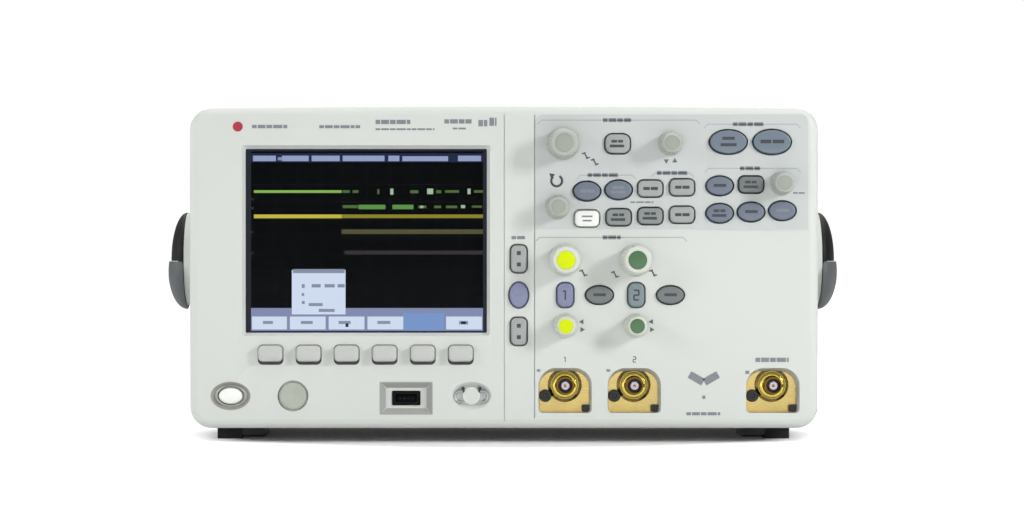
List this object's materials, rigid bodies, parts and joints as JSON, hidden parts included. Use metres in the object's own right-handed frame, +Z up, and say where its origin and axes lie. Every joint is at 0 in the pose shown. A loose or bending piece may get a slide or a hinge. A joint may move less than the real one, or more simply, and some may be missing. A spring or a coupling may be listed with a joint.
{
  "type": "mixed-signal oscilloscope and logic analyzer",
  "caption": "Bench signal analyser with a sunk colour screen, turning knobs and sprung keys on its face, coaxial inputs, a logic pod socket and a swinging carry handle.",
  "frame": {"origin": "on the bench, under the centre of the whole object's box with the handle stowed behind", "axes": "+X to the right of someone facing the instrument, +Y from the face towards the back, +Z up"},
  "size_m": [0.399, 0.299, 0.188],
  "materials": {
    "shell_plastic": "fine matt moulded plastic",
    "key_grey": "matt moulded plastic",
    "key_blue": "matt translucent plastic",
    "key_white": "matt moulded plastic",
    "knob_plastic": "matt moulded plastic",
    "socket_metal": "plated, satin",
    "plated_steel": "zinc plated",
    "module_metal": "satin",
    "window_glass": "clear, polished",
    "board_green": "solder mask",
    "black_plastic": "matt moulded plastic",
    "handle_plastic": "matt moulded plastic",
    "foot_rubber": "matt rubber",
    "foot_plastic": "matt moulded plastic"
  },
  "bodies": {
    "instrument": {"front_bezel": "shell_plastic", "rear_case": "shell_plastic", "screen_window": "window_glass", "display_module": "module_metal", "keypad_board": "board_green", "main_board": "board_green", "power_supply": "plated_steel", "fan_frame": "black_plastic", "input_socket_1": "socket_metal", "input_socket_2": "socket_metal", "trigger_socket": "socket_metal", "input_shield": "socket_metal", "usb_port": "plated_steel", "probe_terminals": "plated_steel", "logic_pod_socket": "black_plastic", "foot_rail_left": "foot_rubber", "foot_rail_right": "foot_rubber"},
    "softkey_1": {"softkey_1": "key_grey"},
    "softkey_2": {"softkey_2": "key_grey"},
    "softkey_3": {"softkey_3": "key_grey"},
    "softkey_4": {"softkey_4": "key_grey"},
    "softkey_5": {"softkey_5": "key_grey"},
    "softkey_6": {"softkey_6": "key_grey"},
    "logic_high_key": {"logic_high_key": "key_grey"},
    "logic_menu_key": {"logic_menu_key": "key_grey"},
    "logic_low_key": {"logic_low_key": "key_grey"},
    "delay_menu_key": {"delay_menu_key": "key_grey"},
    "acquire_key": {"acquire_key": "key_grey"},
    "screen_key": {"screen_key": "key_grey"},
    "save_key": {"save_key": "key_grey"},
    "print_key": {"print_key": "key_grey"},
    "utility_key": {"utility_key": "key_grey"},
    "coupling_key": {"coupling_key": "key_grey"},
    "math_key": {"math_key": "key_grey"},
    "label_key": {"label_key": "key_grey"},
    "run_stop_key": {"run_stop_key": "key_blue"},
    "single_key": {"single_key": "key_blue"},
    "cursors_key": {"cursors_key": "key_blue"},
    "measure_key": {"measure_key": "key_blue"},
    "edge_key": {"edge_key": "key_blue"},
    "pulse_key": {"pulse_key": "key_blue"},
    "pattern_key": {"pattern_key": "key_blue"},
    "trigger_more_key": {"trigger_more_key": "key_blue"},
    "channel_1_key": {"channel_1_key": "key_blue"},
    "channel_2_key": {"channel_2_key": "key_blue"},
    "autoscale_key": {"autoscale_key": "key_white"},
    "power_key": {"power_key": "key_white"},
    "sweep_scale_knob": {"sweep_scale_knob": "knob_plastic"},
    "sweep_position_knob": {"sweep_position_knob": "knob_plastic"},
    "entry_knob": {"entry_knob": "knob_plastic"},
    "trigger_level_knob": {"trigger_level_knob": "knob_plastic"},
    "intensity_dial": {"intensity_dial": "knob_plastic"},
    "channel_1_scale_knob": {"channel_1_scale_knob": "knob_plastic"},
    "channel_1_position_knob": {"channel_1_position_knob": "knob_plastic"},
    "channel_2_scale_knob": {"channel_2_scale_knob": "knob_plastic"},
    "channel_2_position_knob": {"channel_2_position_knob": "knob_plastic"},
    "fan_rotor": {"fan_rotor": "black_plastic"},
    "handle": {"handle": "handle_plastic"},
    "tilt_foot_left": {"tilt_foot_left": "foot_plastic"},
    "tilt_foot_right": {"tilt_foot_right": "foot_plastic"}
  },
  "joints": [
    {"name": "softkey_1_press", "type": "slide", "parent": "instrument", "child": "softkey_1", "axis": [0, 1, 0], "range_m": [0, 0.0012], "stiffness_N_per_m": 350, "springref_m": -0.0006},
    {"name": "softkey_2_press", "type": "slide", "parent": "instrument", "child": "softkey_2", "axis": [0, 1, 0], "range_m": [0, 0.0012], "stiffness_N_per_m": 350, "springref_m": -0.0006},
    {"name": "softkey_3_press", "type": "slide", "parent": "instrument", "child": "softkey_3", "axis": [0, 1, 0], "range_m": [0, 0.0012], "stiffness_N_per_m": 350, "springref_m": -0.0006},
    {"name": "softkey_4_press", "type": "slide", "parent": "instrument", "child": "softkey_4", "axis": [0, 1, 0], "range_m": [0, 0.0012], "stiffness_N_per_m": 350, "springref_m": -0.0006},
    {"name": "softkey_5_press", "type": "slide", "parent": "instrument", "child": "softkey_5", "axis": [0, 1, 0], "range_m": [0, 0.0012], "stiffness_N_per_m": 350, "springref_m": -0.0006},
    {"name": "softkey_6_press", "type": "slide", "parent": "instrument", "child": "softkey_6", "axis": [0, 1, 0], "range_m": [0, 0.0012], "stiffness_N_per_m": 350, "springref_m": -0.0006},
    {"name": "logic_high_press", "type": "slide", "parent": "instrument", "child": "logic_high_key", "axis": [0, 1, 0], "range_m": [0, 0.0012], "stiffness_N_per_m": 350, "springref_m": -0.0006},
    {"name": "logic_menu_press", "type": "slide", "parent": "instrument", "child": "logic_menu_key", "axis": [0, 1, 0], "range_m": [0, 0.0012], "stiffness_N_per_m": 350, "springref_m": -0.0006},
    {"name": "logic_low_press", "type": "slide", "parent": "instrument", "child": "logic_low_key", "axis": [0, 1, 0], "range_m": [0, 0.0012], "stiffness_N_per_m": 350, "springref_m": -0.0006},
    {"name": "delay_menu_press", "type": "slide", "parent": "instrument", "child": "delay_menu_key", "axis": [0, 1, 0], "range_m": [0, 0.0012], "stiffness_N_per_m": 350, "springref_m": -0.0006},
    {"name": "acquire_press", "type": "slide", "parent": "instrument", "child": "acquire_key", "axis": [0, 1, 0], "range_m": [0, 0.0012], "stiffness_N_per_m": 350, "springref_m": -0.0006},
    {"name": "screen_press", "type": "slide", "parent": "instrument", "child": "screen_key", "axis": [0, 1, 0], "range_m": [0, 0.0012], "stiffness_N_per_m": 350, "springref_m": -0.0006},
    {"name": "save_press", "type": "slide", "parent": "instrument", "child": "save_key", "axis": [0, 1, 0], "range_m": [0, 0.0012], "stiffness_N_per_m": 350, "springref_m": -0.0006},
    {"name": "print_press", "type": "slide", "parent": "instrument", "child": "print_key", "axis": [0, 1, 0], "range_m": [0, 0.0012], "stiffness_N_per_m": 350, "springref_m": -0.0006},
    {"name": "utility_press", "type": "slide", "parent": "instrument", "child": "utility_key", "axis": [0, 1, 0], "range_m": [0, 0.0012], "stiffness_N_per_m": 350, "springref_m": -0.0006},
    {"name": "coupling_press", "type": "slide", "parent": "instrument", "child": "coupling_key", "axis": [0, 1, 0], "range_m": [0, 0.0012], "stiffness_N_per_m": 350, "springref_m": -0.0006},
    {"name": "math_press", "type": "slide", "parent": "instrument", "child": "math_key", "axis": [0, 1, 0], "range_m": [0, 0.0012], "stiffness_N_per_m": 350, "springref_m": -0.0006},
    {"name": "label_press", "type": "slide", "parent": "instrument", "child": "label_key", "axis": [0, 1, 0], "range_m": [0, 0.0012], "stiffness_N_per_m": 350, "springref_m": -0.0006},
    {"name": "run_stop_press", "type": "slide", "parent": "instrument", "child": "run_stop_key", "axis": [0, 1, 0], "range_m": [0, 0.0012], "stiffness_N_per_m": 350, "springref_m": -0.0006},
    {"name": "single_press", "type": "slide", "parent": "instrument", "child": "single_key", "axis": [0, 1, 0], "range_m": [0, 0.0012], "stiffness_N_per_m": 350, "springref_m": -0.0006},
    {"name": "cursors_press", "type": "slide", "parent": "instrument", "child": "cursors_key", "axis": [0, 1, 0], "range_m": [0, 0.0012], "stiffness_N_per_m": 350, "springref_m": -0.0006},
    {"name": "measure_press", "type": "slide", "parent": "instrument", "child": "measure_key", "axis": [0, 1, 0], "range_m": [0, 0.0012], "stiffness_N_per_m": 350, "springref_m": -0.0006},
    {"name": "edge_press", "type": "slide", "parent": "instrument", "child": "edge_key", "axis": [0, 1, 0], "range_m": [0, 0.0012], "stiffness_N_per_m": 350, "springref_m": -0.0006},
    {"name": "pulse_press", "type": "slide", "parent": "instrument", "child": "pulse_key", "axis": [0, 1, 0], "range_m": [0, 0.0012], "stiffness_N_per_m": 350, "springref_m": -0.0006},
    {"name": "pattern_press", "type": "slide", "parent": "instrument", "child": "pattern_key", "axis": [0, 1, 0], "range_m": [0, 0.0012], "stiffness_N_per_m": 350, "springref_m": -0.0006},
    {"name": "trigger_more_press", "type": "slide", "parent": "instrument", "child": "trigger_more_key", "axis": [0, 1, 0], "range_m": [0, 0.0012], "stiffness_N_per_m": 350, "springref_m": -0.0006},
    {"name": "channel_1_press", "type": "slide", "parent": "instrument", "child": "channel_1_key", "axis": [0, 1, 0], "range_m": [0, 0.0012], "stiffness_N_per_m": 350, "springref_m": -0.0006},
    {"name": "channel_2_press", "type": "slide", "parent": "instrument", "child": "channel_2_key", "axis": [0, 1, 0], "range_m": [0, 0.0012], "stiffness_N_per_m": 350, "springref_m": -0.0006},
    {"name": "autoscale_press", "type": "slide", "parent": "instrument", "child": "autoscale_key", "axis": [0, 1, 0], "range_m": [0, 0.0012], "stiffness_N_per_m": 350, "springref_m": -0.0006},
    {"name": "power_press", "type": "slide", "parent": "instrument", "child": "power_key", "axis": [0, 1, 0], "range_m": [0, 0.0018], "stiffness_N_per_m": 300, "springref_m": -0.0006},
    {"name": "sweep_scale_turn", "type": "hinge", "parent": "instrument", "child": "sweep_scale_knob", "pos_m": [0.0334, -0.1325, 0.168], "axis": [0, 1, 0], "continuous": true},
    {"name": "sweep_position_turn", "type": "hinge", "parent": "instrument", "child": "sweep_position_knob", "pos_m": [0.0936, -0.1325, 0.168], "axis": [0, 1, 0], "continuous": true},
    {"name": "entry_turn", "type": "hinge", "parent": "instrument", "child": "entry_knob", "pos_m": [0.0302, -0.1325, 0.1324], "axis": [0, 1, 0], "continuous": true},
    {"name": "trigger_level_turn", "type": "hinge", "parent": "instrument", "child": "trigger_level_knob", "pos_m": [0.1564, -0.1325, 0.14579], "axis": [0, 1, 0], "continuous": true},
    {"name": "intensity_turn", "type": "hinge", "parent": "instrument", "child": "intensity_dial", "pos_m": [-0.1186, -0.1325, 0.0263], "axis": [0, 1, 0], "continuous": true},
    {"name": "channel_1_scale_turn", "type": "hinge", "parent": "instrument", "child": "channel_1_scale_knob", "pos_m": [0.0344, -0.1325, 0.1026], "axis": [0, 1, 0], "continuous": true},
    {"name": "channel_1_position_turn", "type": "hinge", "parent": "instrument", "child": "channel_1_position_knob", "pos_m": [0.0344, -0.1325, 0.0658], "axis": [0, 1, 0], "continuous": true},
    {"name": "channel_2_scale_turn", "type": "hinge", "parent": "instrument", "child": "channel_2_scale_knob", "pos_m": [0.0743, -0.1325, 0.1026], "axis": [0, 1, 0], "continuous": true},
    {"name": "channel_2_position_turn", "type": "hinge", "parent": "instrument", "child": "channel_2_position_knob", "pos_m": [0.0743, -0.1325, 0.0658], "axis": [0, 1, 0], "continuous": true},
    {"name": "fan_spin", "type": "hinge", "parent": "instrument", "child": "fan_rotor", "pos_m": [0.084, 0.03, 0.13], "axis": [0, 1, 0], "continuous": true},
    {"name": "handle_swing", "type": "hinge", "parent": "instrument", "child": "handle", "pos_m": [0, -0.0405, 0.1035], "axis": [1, 0, 0], "range_deg": [-20, 180]},
    {"name": "tilt_foot_left_swing", "type": "hinge", "parent": "instrument", "child": "tilt_foot_left", "pos_m": [0, -0.057, 0.0037], "axis": [1, 0, 0], "range_deg": [0, 100]},
    {"name": "tilt_foot_right_swing", "type": "hinge", "parent": "instrument", "child": "tilt_foot_right", "pos_m": [0, -0.057, 0.0037], "axis": [1, 0, 0], "range_deg": [0, 100]}
  ]
}
